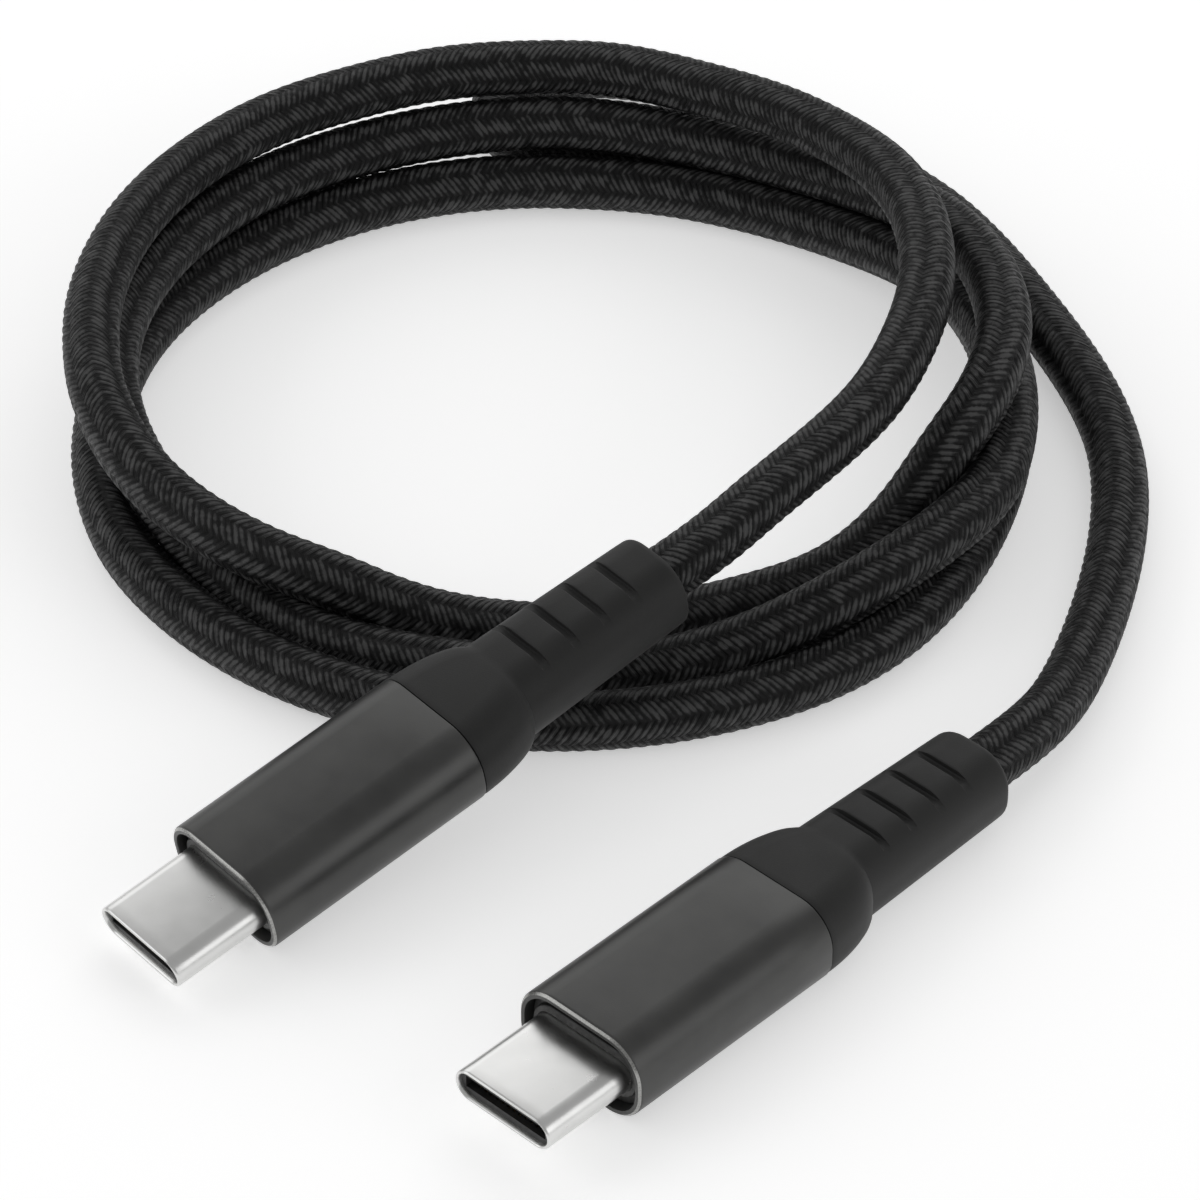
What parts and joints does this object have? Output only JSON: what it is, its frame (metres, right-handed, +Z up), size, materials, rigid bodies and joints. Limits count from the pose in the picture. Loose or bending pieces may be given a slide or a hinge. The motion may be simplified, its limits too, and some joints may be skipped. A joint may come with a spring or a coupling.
{
  "type": "charging cable",
  "caption": "Black braided charging cable in a loose coil, with a plug in a dark metal sleeve and a ribbed rubber strain relief at each end.",
  "frame": {"origin": "on the surface that the cable lies on, midway between the two plugs", "axes": "+Z up from the surface; +Y from the plugs towards the coil; +X to the right, seen from the plugs' side"},
  "size_m": [0.0762, 0.1197, 0.0155],
  "materials": {
    "braid_black": "braided, slightly shiny",
    "shell_steel": "satin",
    "insulator_plastic": "matte",
    "contact_gold": "plated",
    "spring_steel": "satin",
    "board_green": "satin",
    "chip_black": "matte",
    "ceramic_tan": "matte",
    "can_steel": "satin",
    "core_red": "satin",
    "core_black": "satin",
    "core_green": "satin",
    "core_blue": "satin",
    "mould_ivory": "satin",
    "collar_plastic": "matte",
    "sleeve_aluminium": "anodised, satin",
    "boot_rubber": "matte"
  },
  "bodies": {
    "root": {"cord_coil": "braid_black", "cord_tail_a": "braid_black", "cord_tail_b": "braid_black", "plug_a_shell": "shell_steel", "plug_a_insulator": "insulator_plastic", "plug_a_upper_contacts": "contact_gold", "plug_a_lower_contacts": "contact_gold", "plug_a_ground_springs": "spring_steel", "plug_a_latch": "spring_steel", "plug_a_circuit_board": "board_green", "plug_a_marker_chip": "chip_black", "plug_a_board_parts": "ceramic_tan", "plug_a_shield_can": "can_steel", "plug_a_power_core": "core_red", "plug_a_ground_core": "core_black", "plug_a_data_cores": "core_green", "plug_a_config_core": "core_blue", "plug_a_inner_mould": "mould_ivory", "plug_a_crimp_ring": "can_steel", "plug_a_front_collar": "collar_plastic", "plug_a_sleeve": "sleeve_aluminium", "plug_a_boot": "boot_rubber", "plug_a_cord_end": "braid_black", "plug_b_shell": "shell_steel", "plug_b_insulator": "insulator_plastic", "plug_b_upper_contacts": "contact_gold", "plug_b_lower_contacts": "contact_gold", "plug_b_ground_springs": "spring_steel", "plug_b_latch": "spring_steel", "plug_b_circuit_board": "board_green", "plug_b_board_parts": "ceramic_tan", "plug_b_shield_can": "can_steel", "plug_b_power_core": "core_red", "plug_b_ground_core": "core_black", "plug_b_data_cores": "core_green", "plug_b_config_core": "core_blue", "plug_b_inner_mould": "mould_ivory", "plug_b_crimp_ring": "can_steel", "plug_b_front_collar": "collar_plastic", "plug_b_sleeve": "sleeve_aluminium", "plug_b_boot": "boot_rubber", "plug_b_cord_end": "braid_black"}
  },
  "joints": []
}
